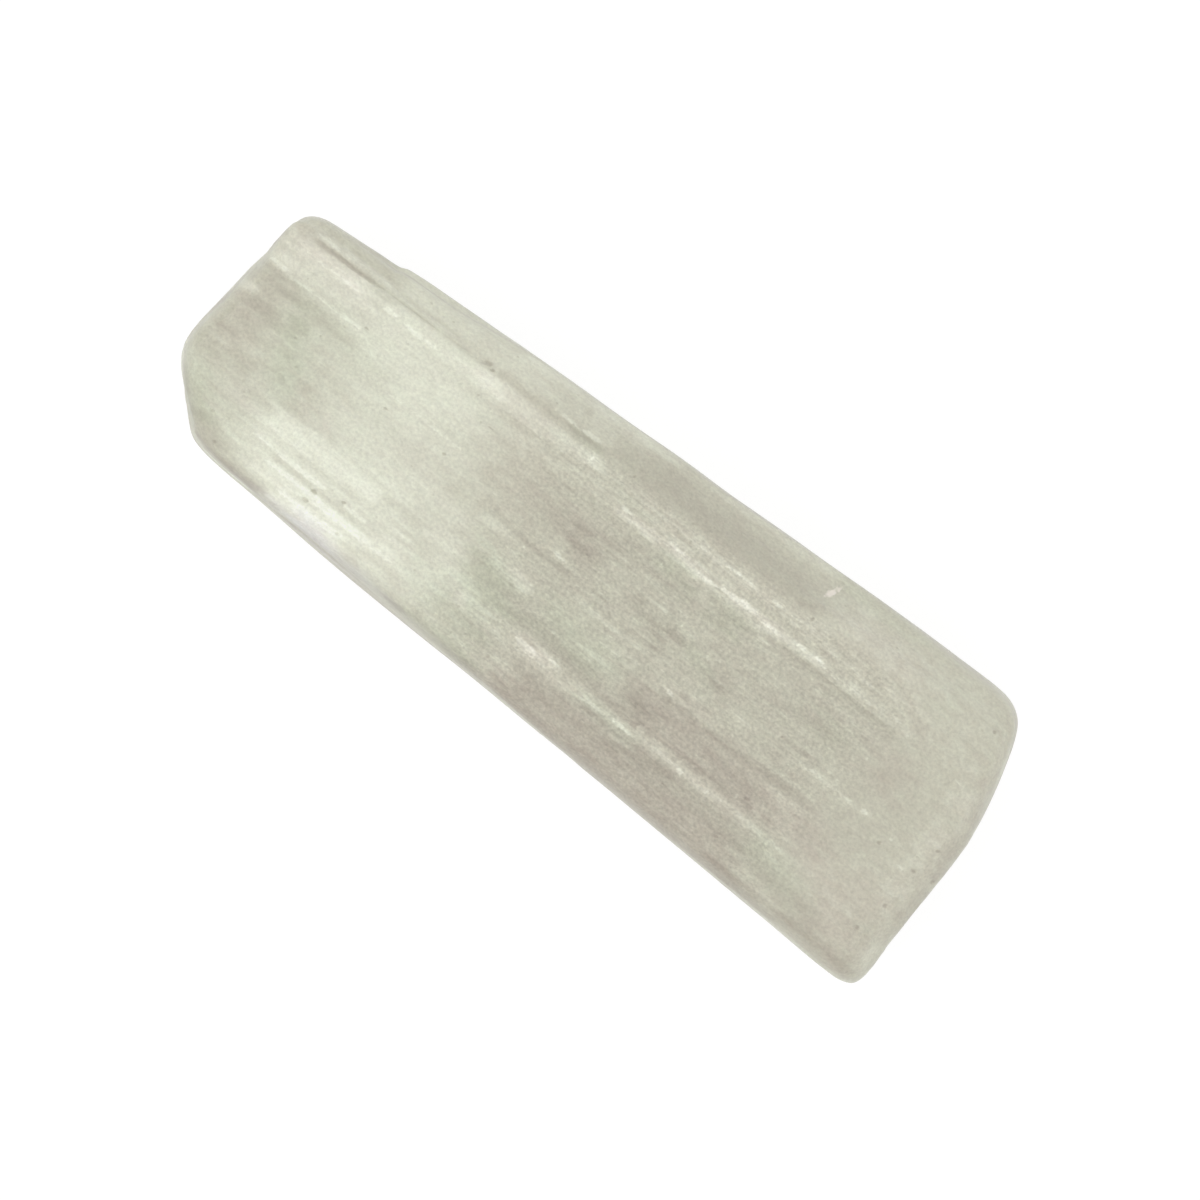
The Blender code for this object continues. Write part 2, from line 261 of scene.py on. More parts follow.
LIGHT_LINES_AND_HIGHLIGHT = (
    (-35.9, -34.3, 8.62, 8.60, 0.09, 0.55),
    (-34.3, -31.4, 8.50, 8.48, 0.08, 0.95),
    (-31.6, -26.4, 8.58, 8.72, 0.06, 0.78),
    (-24.0, -17.4, 9.25, 9.45, 0.06, 0.50),
    (-35.0, -27.4, 6.68, 6.82, 0.09, 0.78),
    # this line paints the highlight where the ridge's crest catches light, just before the seam's painted
    # shadow
    (-33.6, -28.6, 7.22, 7.25, 0.07, 0.66),
    (-26.6, -24.7, 6.98, 6.98, 0.13, 0.92),
    (-24.4, -20.2, 6.92, 6.92, 0.11, 0.98),
    (-20.2, -16.4, 7.18, 7.12, 0.07, 0.72),
    (-25.6, -23.0, 7.85, 7.80, 0.07, 0.60),
    (-36.7, -33.6, 4.58, 4.50, 0.11, 1.02),
    (-36.4, -32.6, 4.28, 4.24, 0.06, 0.74),
    (-34.0, -28.6, 4.42, 4.42, 0.09, 0.88),
    (-29.2, -26.2, 4.42, 4.50, 0.11, 0.90),
    (-36.4, -35.0, 5.15, 5.15, 0.06, 0.55),
    (-31.9, -31.4, 3.70, 3.65, 0.07, 0.75),
    (-31.0, -30.1, 1.72, 1.70, 0.06, 0.60),
    (-27.6, -27.2, 1.75, 1.75, 0.06, 0.60),
    (-25.2, -19.4, 1.80, 1.72, 0.05, 0.74),
    (-19.6, -13.6, 1.76, 1.82, 0.05, 0.86),
    (-24.6, -22.4, -1.90, -1.95, 0.05, 0.56),
    (-36.5, -34.8, -3.55, -2.90, 0.07, 0.60),
    (-29.0, -25.0, -7.36, -7.36, 0.07, 0.86),
    (-26.0, -20.4, -7.38, -7.46, 0.11, 1.10),
    (-19.6, -16.0, -7.50, -7.60, 0.10, 1.02),
    (-16.0, -12.6, -7.50, -7.55, 0.05, 0.80),
    (-26.6, -15.0, -8.42, -8.56, 0.11, 1.05),
    (-21.6, -12.8, -8.80, -8.72, 0.09, 1.00),
    (-20.2, -9.6, -8.98, -8.95, 0.05, 0.68),
    (-24.4, -16.8, -9.86, -9.80, 0.10, 0.94),
    (-19.6, -17.0, -9.60, -9.62, 0.09, 0.98),
    (-23.4, -18.2, -10.52, -10.70, 0.06, 0.66),
    (-18.2, -14.8, -4.95, -4.95, 0.09, 0.60),
    (-16.6, -13.8, 6.98, 6.70, 0.08, 0.80),
    (-14.2, -9.7, 6.60, 6.62, 0.05, 0.70),
    (-10.4, -9.8, 6.64, 6.66, 0.10, 0.88),
    (-8.5, -7.3, 6.70, 6.72, 0.08, 0.78),
    (-15.4, -10.2, 5.76, 5.74, 0.05, 0.66),
    (-15.4, -14.6, 7.60, 7.60, 0.07, 0.72),
    (-10.2, -7.8, 9.10, 9.08, 0.10, 0.94),
    (-9.6, -6.2, 8.88, 8.90, 0.05, 0.78),
    (-8.0, -5.2, 9.06, 9.14, 0.14, 1.06),
    (-10.6, -10.0, 9.12, 9.12, 0.08, 0.80),
    (-5.8, -5.2, 7.75, 7.70, 0.13, 0.80),
    (-3.0, -2.4, 7.90, 7.90, 0.08, 0.66),
    # along the vein and behind it
    (-1.8, 15.6, 6.04, 5.88, 0.10, 0.56),
    (-1.6, 0.2, 6.06, 6.00, 0.17, 0.82),
    (0.2, 3.0, 5.98, 6.00, 0.07, 0.80),
    (3.0, 5.2, 6.16, 6.10, 0.16, 0.84),
    (5.0, 6.4, 6.06, 5.80, 0.12, 0.84),
    (6.2, 9.0, 5.60, 5.62, 0.10, 0.86),
    (8.6, 12.8, 5.82, 5.86, 0.17, 0.84),
    (9.4, 13.4, 6.16, 6.12, 0.08, 0.76),
    (12.8, 15.2, 5.76, 5.76, 0.11, 0.92),
    (16.2, 17.8, 6.05, 6.00, 0.09, 0.86),
    (18.2, 19.6, 6.24, 5.80, 0.15, 0.86),
    (19.8, 24.8, 5.70, 5.82, 0.07, 0.74),
    (25.7, 27.3, 6.34, 6.06, 0.12, 0.94),
    (27.8, 28.3, 5.66, 5.62, 0.09, 0.80),
    (5.2, 7.0, 7.52, 7.52, 0.07, 0.78),
    (7.8, 11.4, 7.54, 7.54, 0.07, 0.90),
    (12.6, 14.0, 7.62, 7.60, 0.09, 0.92),
    (14.0, 17.0, 7.58, 7.56, 0.05, 0.66),
    (24.3, 25.3, 7.74, 7.74, 0.09, 0.86),
    (24.9, 25.9, 11.28, 11.34, 0.11, 0.95),
    (18.6, 19.9, 10.20, 10.10, 0.08, 0.70),
    (25.2, 27.4, 10.05, 10.00, 0.07, 0.62),
    (31.2, 33.0, 8.00, 7.95, 0.05, 0.60),
    # between the vein and the front
    (-0.6, 7.8, 2.96, 2.98, 0.06, 0.80),
    (2.0, 3.1, 4.02, 4.02, 0.08, 0.80),
    (3.6, 4.6, 4.42, 4.36, 0.08, 0.80),
    (7.0, 9.0, 2.30, 2.26, 0.09, 0.84),
    (7.9, 8.6, 1.52, 1.48, 0.08, 0.84),
    (5.6, 7.2, 1.62, 1.62, 0.07, 0.74),
    (11.0, 11.7, 0.86, 0.84, 0.07, 0.92),
    (12.0, 12.7, 1.18, 1.14, 0.11, 0.84),
    (13.2, 15.6, 4.60, 4.52, 0.09, 0.86),
    (17.2, 17.8, 4.20, 4.40, 0.08, 0.76),
    (18.8, 24.4, 3.94, 3.96, 0.05, 0.70),
    (13.2, 21.6, 0.16, 0.14, 0.05, 0.70),
    (22.2, 25.6, 2.98, 2.96, 0.05, 0.60),
    (26.3, 26.8, 2.20, 2.16, 0.09, 0.80),
    (-3.9, -1.6, 0.02, -0.24, 0.08, 0.92),
    (-5.9, -5.5, -1.26, -1.32, 0.10, 0.92),
    (1.0, 1.4, -0.84, -0.90, 0.10, 0.90),
    (7.0, 7.4, -0.94, -0.98, 0.09, 0.92),
    (-0.4, 5.0, 0.02, 0.04, 0.05, 0.66),
    (0.2, 8.6, -1.84, -1.90, 0.05, 0.70),
    (16.2, 17.2, -1.50, -1.48, 0.09, 0.76),
    (24.0, 26.2, -0.30, -0.70, 0.09, 0.74),
    (21.6, 28.4, -1.36, -1.40, 0.11, 0.78),
    (28.6, 29.7, -1.16, -1.46, 0.16, 0.96),
    (31.9, 32.5, -1.62, -2.00, 0.12, 0.94),
    (22.0, 22.4, -2.46, -2.50, 0.08, 0.88),
    (22.4, 23.0, -4.46, -4.46, 0.07, 0.84),
    (23.0, 25.2, -4.26, -4.30, 0.06, 0.70),
    (10.4, 11.6, -3.36, -3.40, 0.13, 0.86),
    (8.2, 9.2, -4.90, -4.94, 0.08, 0.70),
    (0.0, 1.0, -5.26, -5.30, 0.10, 0.86),
    (-9.0, -6.4, -5.90, -5.80, 0.06, 0.68),
    (5.6, 7.8, -4.02, -4.04, 0.05, 0.66),
    (18.2, 19.8, -5.16, -5.20, 0.07, 0.74),
    # the wispy line towards the front, and the wide end
    (-2.9, -2.3, -6.42, -6.50, 0.10, 0.86),
    (-2.2, 1.2, -7.36, -7.52, 0.14, 1.00),
    (-0.7, -0.2, -7.44, -7.50, 0.14, 1.20),
    (-2.0, 2.4, -7.92, -7.86, 0.07, 0.76),
    (1.2, 3.4, -7.06, -7.12, 0.09, 0.82),
    (2.0, 2.5, -6.58, -6.62, 0.09, 0.96),
    (5.0, 8.0, -7.90, -7.94, 0.08, 0.82),
    (8.0, 11.2, -7.92, -7.92, 0.10, 0.94),
    (10.6, 11.4, -7.10, -7.12, 0.15, 1.25),
    (11.6, 16.0, -7.02, -7.08, 0.07, 0.86),
    (14.9, 15.8, -7.76, -7.86, 0.13, 1.15),
    (15.6, 16.2, -7.26, -7.34, 0.09, 0.90),
    (17.8, 18.5, -7.80, -7.84, 0.11, 1.05),
    (19.9, 20.5, -6.60, -6.62, 0.14, 1.20),
    (21.8, 22.8, -6.60, -6.68, 0.12, 1.12),
    (24.0, 26.4, -7.70, -7.96, 0.10, 0.80),
    (28.6, 29.4, -6.70, -6.76, 0.06, 0.70),
    (6.4, 8.0, -10.8, -10.86, 0.09, 0.70),
    (4.6, 6.2, -9.66, -9.76, 0.07, 0.66),
    (3.0, 3.6, -9.10, -9.10, 0.07, 0.66),
    (33.0, 34.6, 5.20, 5.10, 0.08, 0.66),
    (33.4, 34.8, -3.00, -3.05, 0.10, 0.80),
    (34.2, 35.4, -5.50, -5.54, 0.09, 0.70),
)
DARK_LINES = (
    (-36.2, -31.9, 3.98, 3.92, 0.13, 0.95),
    (-29.6, -28.0, 3.86, 3.84, 0.10, 0.80),
    (-25.2, -17.6, -6.60, -6.64, 0.13, 0.92),
    (-26.4, -17.2, -7.86, -8.00, 0.14, 0.96),
    (-29.0, -24.8, -6.90, -6.92, 0.10, 0.62),
    (-24.8, -16.6, -9.28, -9.30, 0.08, 0.74),
    (-23.6, -19.8, 7.52, 7.52, 0.09, 0.70),
    (-14.6, -8.2, 6.40, 6.38, 0.08, 0.72),
    (-9.4, -5.2, 8.66, 8.66, 0.13, 0.92),
    (-9.0, 1.2, 4.74, 4.66, 0.10, 0.80),
    (-4.0, -2.4, 4.62, 4.58, 0.09, 0.84),
    (-6.0, -1.4, 5.30, 5.24, 0.09, 0.66),
    (-4.4, -0.8, 2.80, 2.70, 0.12, 0.90),
    (-3.6, -1.0, 1.46, 1.36, 0.14, 0.98),
    (-0.8, 3.2, 2.54, 2.54, 0.12, 0.96),
    (2.4, 8.4, 3.52, 3.50, 0.09, 0.80),
    (-0.6, 2.6, 3.40, 3.38, 0.08, 0.74),
    (3.6, 5.2, 1.16, 1.10, 0.17, 0.98),
    (4.0, 7.6, 0.28, 0.24, 0.13, 0.98),
    (7.2, 9.8, 0.52, 0.42, 0.17, 1.10),
    (7.2, 8.4, 0.94, 0.92, 0.10, 0.90),
    (5.8, 8.4, -0.36, -0.40, 0.13, 0.94),
    (5.8, 7.0, -0.80, -0.82, 0.10, 0.80),
    (7.0, 8.2, -1.32, -1.34, 0.11, 0.90),
    (-6.6, -0.8, -0.84, -0.94, 0.12, 0.90),
    (0.6, 2.6, -0.78, -0.80, 0.11, 0.80),
    (-2.2, 1.8, -1.46, -1.50, 0.08, 0.70),
    (12.0, 14.4, -0.60, -0.56, 0.12, 0.90),
    (9.8, 11.0, -1.30, -1.36, 0.12, 0.80),
    (13.6, 14.6, -2.10, -2.10, 0.10, 0.76),
    (8.0, 8.8, -2.90, -2.94, 0.10, 0.80),
    (10.4, 13.0, -3.80, -3.84, 0.12, 0.92),
    (14.4, 19.6, -3.90, -3.94, 0.10, 0.90),
    (18.6, 25.2, -3.40, -3.40, 0.12, 0.84),
    (8.6, 9.8, -4.26, -4.20, 0.11, 0.86),
    (15.2, 27.6, 5.16, 5.10, 0.13, 0.94),
    (19.0, 24.4, 4.50, 4.48, 0.10, 0.78),
    (18.0, 26.8, 3.44, 3.40, 0.08, 0.66),
    (12.4, 19.2, 3.44, 3.44, 0.07, 0.60),
    (15.0, 21.0, 0.60, 0.56, 0.09, 0.66),
    (19.6, 23.4, -0.56, -0.60, 0.13, 0.90),
    (-9.2, -3.4, -4.24, -4.30, 0.12, 0.82),
    (-5.0, -2.2, -6.12, -6.16, 0.10, 0.74),
    (1.2, 6.0, -5.86, -6.00, 0.16, 0.86),
    (8.0, 12.2, -5.84, -5.80, 0.18, 0.92),
    (18.4, 21.6, -5.60, -5.62, 0.12, 0.80),
    (14.2, 20.8, -6.72, -6.70, 0.10, 0.78),
    (8.8, 10.6, -7.20, -7.16, 0.13, 0.86),
    (5.4, 8.8, -8.52, -8.50, 0.13, 0.92),
    (8.8, 11.4, -8.30, -8.26, 0.10, 0.76),
    (9.4, 12.8, -9.20, -9.24, 0.12, 0.86),
    (-5.0, -0.6, -8.36, -8.34, 0.09, 0.66),
    (-1.0, 3.8, -10.4, -10.5, 0.09, 0.72),
    (9.8, 16.2, -10.5, -10.6, 0.11, 0.80),
    (16.6, 21.8, -9.70, -9.80, 0.10, 0.74),
    (2.4, 9.8, -11.7, -11.8, 0.12, 0.80),
    (-2.4, 1.6, -11.6, -11.7, 0.10, 0.76),
    (24.4, 30.8, -9.46, -9.50, 0.10, 0.78),
    (26.2, 27.0, -10.3, -10.4, 0.16, 0.90),
    (33.2, 34.8, -11.5, -11.6, 0.12, 0.78),
    (13.6, 15.8, 8.40, 9.10, 0.10, 0.72),
    (0.0, 13.8, 8.66, 8.70, 0.10, 0.72),
)
# Places where the tone leans to green, and with a minus sign to mauve
TINTS = (
    (-36.0, -8.0, 0.0, 0.0, 12.0, 0.26),
    (-14.5, -1.5, -11.4, -11.9, 0.9, 0.32),
    (-11.0, -3.5, -11.4, -11.9, 0.9, 0.32),
    (-1.8, 16.0, 5.95, 5.86, 0.45, -0.50),
    (-31.0, -22.0, 3.4, 2.8, 2.0, 0.26),
    (-33.0, -28.0, -7.0, -8.4, 1.6, 0.30),
    (-37.2, -31.5, -5.8, -9.8, 2.5, 0.84),
    (-33.0, -27.0, 2.4, -3.4, 2.8, 0.86),
    (-12.5, -2.5, -7.8, -10.2, 2.2, 0.62),
    (-9.0, -2.4, -4.6, -6.4, 2.2, 1.05),
    (-3.0, 7.6, -4.2, -5.0, 1.9, 0.70),
    (4.6, 11.4, -7.9, -8.2, 0.7, 0.70),
    (-8.6, -5.0, 8.50, 8.55, 0.4, 0.60),
    (3.0, 7.6, 5.0, 4.6, 0.8, 0.70),
    (9.0, 13.2, 4.2, 3.6, 1.1, 0.66),
    (8.6, 13.6, 0.9, -0.8, 0.7, 0.60),
    (20.8, 24.4, 2.3, 1.9, 0.9, 0.60),
    (22.0, 31.4, -8.4, -9.9, 1.5, 0.66),
    (27.6, 30.8, 9.4, 9.4, 2.0, 0.34),
    (15.0, 25.0, 12.1, 12.4, 0.6, 0.40),
    (-3.4, 3.0, 7.0, 6.4, 0.5, 0.30),
    (28.0, 33.0, -4.6, -5.4, 1.6, 0.20),
    (-37.0, -28.0, 7.6, 7.6, 1.0, -0.52),
    (-17.0, -8.0, 7.5, 7.5, 1.4, -0.46),
    (-2.0, 23.0, -7.5, -7.5, 1.1, -0.36),
    (-2.0, 31.0, 7.6, 7.8, 1.3, -0.22),
    (18.0, 27.0, 10.0, 10.0, 1.4, -0.34),
    (28.0, 36.8, -6.6, -7.6, 3.0, -0.26),
    (26.0, 36.6, -7.6, -8.2, 3.2, -0.30),
    (34.4, 37.6, 2.6, 2.6, 8.0, -0.34),
    (-37.0, -32.0, -0.6, -1.6, 2.2, -0.44),
    (-37.0, -31.6, 2.6, 2.2, 1.6, -0.30),
    (-36.6, -26.4, 6.0, 6.2, 1.2, -0.26),
    (-28.4, -25.4, -1.4, -4.0, 0.8, -0.50),
    (-24.8, -23.4, -2.6, -4.2, 0.6, -0.50),
    (-32.6, -29.8, -5.6, -5.8, 1.0, -0.40),
    (-24.6, -16.0, -10.3, -10.9, 0.6, -0.20),
    (-13.6, -5.6, 3.4, 2.2, 3.0, -0.38),
    (-7.0, 0.4, 2.6, 2.0, 1.4, -0.34),
    (-8.2, -6.4, -7.8, -7.8, 0.7, -0.50),
    (-2.6, 2.0, -7.5, -7.7, 0.6, -0.50),
    (-5.6, -2.6, -3.2, -3.8, 0.8, -0.30),
    (7.6, 29.0, -5.2, -5.8, 1.9, -0.62),
    (10.0, 15.0, -3.3, -3.2, 0.7, -0.40),
    (-2.4, 24.0, -10.4, -11.0, 2.0, -0.56),
    (26.6, 31.0, 2.6, 2.0, 1.7, -0.46),
    (28.0, 36.0, -8.8, -11.6, 1.8, -0.44),
    (-19.0, -12.0, -0.6, -2.0, 1.2, -0.26),
    (14.0, 17.0, 11.1, 11.4, 0.8, -0.20),
)
# Places where a blue-white reflection on the front bevel is painted into the colour
PAINTED_REFLECTION_BLUES = (
    (-28.5, -11.0, -11.15, -11.65, 0.75, 0.30),
    (-25.5, -14.0, -11.15, -11.60, 0.75, 0.34),
    (-23.0, -16.5, -11.15, -11.60, 0.75, 0.36),
    (-22.5, -17.0, -10.30, -10.50, 0.60, 0.55),
)
RAGGED_LENGTH, RAGGED_BREADTH = 2.6, 0.34  # the size of the ragged edge of a stroke
LINE_BORDER = 0.38  # how far past its edge a thin line's strength falls to nothing

# Pits in the top and the bevel, darkened by painted shade: X, Y, half the length, half the breadth, and depth
PITS = (
    (-21.6, -8.15, 0.34, 0.20, 0.12),
    (-21.7, -9.12, 0.34, 0.20, 0.11),
    (-19.2, -7.40, 0.26, 0.16, 0.08),
    (-18.0, -9.70, 0.32, 0.18, 0.09),
    (-16.85, 8.66, 0.36, 0.24, 0.17),
    (-16.25, 8.36, 0.26, 0.16, 0.09),
    (-17.2, 8.36, 0.20, 0.14, 0.07),
    (-21.1, 0.62, 0.26, 0.18, 0.10),
    (-15.2, 0.66, 0.24, 0.16, 0.07),
    (-30.3, 0.66, 0.20, 0.16, 0.07),
    (-26.3, 4.80, 0.24, 0.16, 0.07),
    (-16.0, 6.05, 0.20, 0.14, 0.06),
    (-13.5, 4.60, 0.26, 0.14, 0.07),
    (-7.7, 4.58, 0.26, 0.15, 0.08),
    (-6.7, -8.30, 0.22, 0.18, 0.08),
    (-2.4, -10.0, 0.24, 0.18, 0.10),
    (-5.9, -10.3, 0.20, 0.16, 0.06),
    (-1.9, 8.64, 0.16, 0.22, 0.08),
    (4.9, 7.20, 0.22, 0.26, 0.08),
    (15.0, -9.46, 0.24, 0.18, 0.10),
    (10.9, -10.3, 0.24, 0.18, 0.09),
    (13.1, -9.42, 0.22, 0.18, 0.08),
    (21.05, -6.30, 0.22, 0.24, 0.13),
    (20.1, -0.60, 0.20, 0.16, 0.07),
    (20.9, -10.2, 0.26, 0.18, 0.08),
    (31.55, -2.55, 0.22, 0.20, 0.08),
    (35.12, -6.25, 0.24, 0.20, 0.09),
    (35.15, -2.65, 0.26, 0.20, 0.09),
    (35.75, -0.18, 0.22, 0.20, 0.09),
    (33.45, 10.20, 0.18, 0.18, 0.07),
    (34.4, -8.95, 0.22, 0.18, 0.07),
    (25.5, 1.60, 0.26, 0.14, 0.06),
    (37.0, -2.4, 0.20, 0.24, 0.06),
    (-33.4, -9.4, 0.22, 0.16, 0.06),
    (-30.4, -9.9, 0.22, 0.16, 0.06),
    (-32.0, -8.0, 0.20, 0.16, 0.05),
    (16.3, 8.30, 0.14, 0.24, 0.05),
)
# The seam under the ledge near the narrow end, painted dark as the shadow at the foot of the step: X of its
# ends, Y at those ends, half breadth, depth, and strength of the painted shadow
SEAMS = (
    (-35.4, -26.4, 7.90, 8.20, 0.24, 0.09, 0.82),
    (-27.4, -16.9, 8.24, 8.44, 0.06, 0.06, 0.72),
)
# The nick across the back bevel: X and Y of its middle, the way it runs in degrees from +X, half its
# length, half its breadth, and its depth
NICK = (16.3, 11.2, 66.0, 0.70, 0.20, 0.09)

# Places where the silky sheen is painted into the colour as lighter tone, each with a clear border
PAINTED_SHEENS = (
    (-28.7, -17.2, -5.30, -5.35, 0.95, 0.15),
    (-23.2, -17.3, -4.05, -4.00, 0.45, 0.07),
)

# Colours of the spar, from its clearest and so darkest places to its milkiest
GAIN = 1.10  # what red, green and blue of each of its colours are multiplied by
DARK_SPAR = (0.385 * GAIN, 0.355 * GAIN, 0.292 * GAIN, 1.0)
MIDDLE_SPAR = (0.563 * GAIN, 0.551 * GAIN, 0.454 * GAIN, 1.0)
PALE_SPAR = (0.910 * GAIN, 0.922 * GAIN, 0.800 * GAIN, 1.0)
BRUISED_SPAR = (0.87 * GAIN, 0.81 * GAIN, 0.74 * GAIN, 1.0)
PALE_SHARE, DULL_SHARE = 0.50, 0.52  # how strongly the broad strokes show
PAINTED_RIM_SHADE = 0.09  # how much darker the spar is painted where its skin turns down: painted shade on the rim
PAINTED_RIM_GREEN = 0.30  # how much more the painted rim shade leans to green
TURNED_DOWN = (0.20, 0.75)  # how far up the skin faces where it is turned down, and where it isn't
# Where the strokes on the top start to show, and show in full: by height, and by how far up the skin faces
TOP_HEIGHTS = (0.52 * TOP, 0.60 * TOP)
TOP_FACING = (0.06, 0.28)

# The white table: its colour, its glow, how far it reaches in metres, and its gap to the wand's base
TABLE_COLOUR = (0.22, 0.22, 0.22, 1.0)
TABLE_GLOW = 0.83
TABLE_REACH = 1.5
TABLE_GAP = 0.02

# The soft lamp: its place in millimetres, its size in metres, its power and its tint
LAMP_PLACE = (-160.0, -300.0, 420.0)
LAMP_SIZE = (0.30, 0.24)
LAMP_POWER = 0.30
LAMP_TINT = (1.0, 0.995, 0.985)

# The camera: X and Y of the spot below it, its turn in degrees, how far above the waist it is, and what the
# photograph's full width spans at that height
CAMERA_SPOT = (1.89, -0.91)
CAMERA_TURN = 37.89
CAMERA_DISTANCE = 1200.0
PHOTO_WIDTH = 96.98
SENSOR_WIDTH = 36.0


def seeded_lattice(seed):
    """A table of even random values for one noise."""
    return np.random.default_rng(seed).random((LATTICE, LATTICE, LATTICE)).astype(np.float32)


LATTICES = {}


def value_noise(points, sizes, seed):
    """Smooth noise from -1 to 1 at each point, with lumps of the given sizes along X, Y and Z."""
    if seed not in LATTICES:
        LATTICES[seed] = seeded_lattice(seed)
    lattice = LATTICES[seed]
    scaled = points / np.asarray(sizes, dtype=float) + NOISE_SHIFT
    base = np.floor(scaled).astype(int)
    part = scaled - base
    part = part * part * part * (part * (part * 6.0 - 15.0) + 10.0)
    total = np.zeros(len(points))
    for corner in range(8):
        step = np.array([corner & 1, corner >> 1 & 1, corner >> 2 & 1])
        weight = np.prod(np.where(step, part, 1.0 - part), axis=1)
        cell = (base + step) % LATTICE
        total += weight * lattice[cell[:, 0], cell[:, 1], cell[:, 2]]
    return total * 2.0 - 1.0


def ease(value, start, end):
    """0 before start, 1 past end, and smooth in between."""
    share = np.clip((value - start) / (end - start), 0.0, 1.0)
    return share * share * (3.0 - 2.0 * share)


def mesh_points(mesh):
    """The mesh's points as an array, in millimetres."""
    flat = np.empty(len(mesh.vertices) * 3, dtype=np.float32)
    mesh.vertices.foreach_get("co", flat)
    return flat.reshape(-1, 3).astype(float) / MM


def set_mesh_points(mesh, points):
    """Puts an array of points, in millimetres, into the mesh."""
    mesh.vertices.foreach_set("co", (points * MM).astype(np.float32).ravel())
    mesh.update()


def mesh_normals(mesh):
    """The direction that the skin faces at each point."""
    flat = np.empty(len(mesh.vertices) * 3, dtype=np.float32)
    mesh.vertex_normals.foreach_get("vector", flat)
    return flat.reshape(-1, 3).astype(float)


def smoothed_solid():
    """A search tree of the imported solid's skin with its facets smoothed away."""
    bm = bmesh.new()
    bm.from_mesh(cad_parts[NODE].data)
    bmesh.ops.remove_doubles(bm, verts=bm.verts, dist=0.001 * MM)
    bmesh.ops.join_triangles(bm, faces=bm.faces, angle_face_threshold=0.8, angle_shape_threshold=0.9)
    mesh = bpy.data.meshes.new("smoothed_solid")
    bm.to_mesh(mesh)
    bm.free()
    solid = bpy.data.objects.new("smoothed_solid", mesh)
    bpy.context.scene.collection.objects.link(solid)
    solid.modifiers.new("smooth", "SUBSURF").levels = 2
    sharp = mesh_points(mesh)
    for _ in range(2):
        # The subdivided skin is drawn in at the edges, so the points are moved out by as much beforehand.
        drawn_in = evaluated_points(solid)[: len(sharp)]
        set_mesh_points(mesh, mesh_points(mesh) + 0.9 * (sharp - drawn_in))
    graph = bpy.context.evaluated_depsgraph_get()
    tree = BVHTree.FromObject(solid, graph)
    bpy.data.objects.remove(solid, do_unlink=True)
    return tree


def evaluated_points(obj):
    """The object's points after its modifiers, in millimetres."""
    bpy.context.view_layer.update()
    graph = bpy.context.evaluated_depsgraph_get()
    evaluated = obj.evaluated_get(graph)
    points = mesh_points(evaluated.to_mesh())
    evaluated.to_mesh_clear()
    return points


def crowded(share):
    """Moves a place along the wand, from -1 to 1, towards the nearer end."""
    return share * (1.0 - END_CROWDING) + END_CROWDING * np.sin(share * math.pi / 2.0)


def box_grid():
    """A cube primitive two units across, cut into fine cells along each of its axes."""
    bm = bmesh.new()
    bmesh.ops.create_cube(bm, size=2.0)
    for axis, cells in enumerate(CELLS):
        edges = [e for e in bm.edges if abs(e.verts[0].co[axis] - e.verts[1].co[axis]) > 1.9]
        bmesh.ops.subdivide_edges(bm, edges=edges, cuts=cells - 1, use_grid_fill=True)
    mesh = bpy.data.meshes.new(NODE + "_skin")
    bm.to_mesh(mesh)
    bm.free()
    return mesh


def lay_on_solid(mesh, tree):
    """Moves each point of the grid along its ray from the core until it lies on the smoothed solid."""
    unit = mesh_points(mesh) * MM
    unit[:, 0] = crowded(unit[:, 0])
    half = (HIGH - LOW) / 2.0
    middle = (HIGH + LOW) / 2.0
    offset = unit * half
    core = np.clip(offset, RIM - half, half - RIM)
    way = offset - core
    way /= np.linalg.norm(way, axis=1)[:, None]
    start = middle + core
    points = np.empty_like(unit)
    for i in range(len(unit)):
        hit = tree.ray_cast(Vector(start[i] * MM), Vector(way[i]))[0]
        points[i] = np.array(hit) / MM
    points[:, 2] = np.maximum(points[:, 2], 0.0)
    set_mesh_points(mesh, points)
    return points


def past_ends(points, stroke, ragged, reach):
    """1 along a stroke, falling to 0 past its two ends."""
    uneven = ragged * (0.3 + 0.7 * min(reach, 1.2))
    beyond = np.maximum(stroke[0] - points[:, 0], points[:, 0] - stroke[1]) + uneven
    return 1.0 - ease(beyond, -reach, 0.35 * reach)


def from_middle(points, stroke):
    """How far each point lies from the stroke's middle line."""
    x_start, x_end, y_start, y_end = stroke[:4]
    along = np.clip((points[:, 0] - x_start) / (x_end - x_start), 0.0, 1.0)
    return np.abs(points[:, 1] - y_start - (y_end - y_start) * along)


def stroke_mask(points, stroke, ragged):
    """1 in the middle of a broad stroke on the top, falling to 0 at its ragged edge."""
    half_breadth = stroke[4]
    reach = min(0.45 * (stroke[1] - stroke[0]), 0.8 + 1.3 * half_breadth)
    across = from_middle(points, stroke) / half_breadth + 0.26 * ragged * min(1.0, 0.6 / half_breadth)
    return past_ends(points, stroke, ragged, reach) * np.exp(-np.abs(across) ** 3)


def strokes(points, table, on_top):
    """The broad strokes of one kind added up."""
    ragged = value_noise(points, (RAGGED_LENGTH, RAGGED_BREADTH, 40.0), RAGGED_SEED)
    ragged += 0.6 * value_noise(points, (7.0, 1.4, 40.0), WIDE_RAGGED_SEED)
    total = np.zeros(len(points))
    for stroke in table:
        total += stroke[5] * stroke_mask(points, stroke, ragged)
    return total * on_top


def bordered(points, table, on_top):
    """The strokes of one kind added up, each even up to a clear border."""
    ragged = value_noise(points, (1.7, 0.8, 40.0), BORDER_SEED)
    total = np.zeros(len(points))
    for stroke in table:
        fade = (stroke[4] - from_middle(points, stroke)) / 0.30 + 0.9 * ragged
        total += stroke[5] * past_ends(points, stroke, ragged, 0.9) * ease(fade, -0.5, 1.0)
    return total * on_top


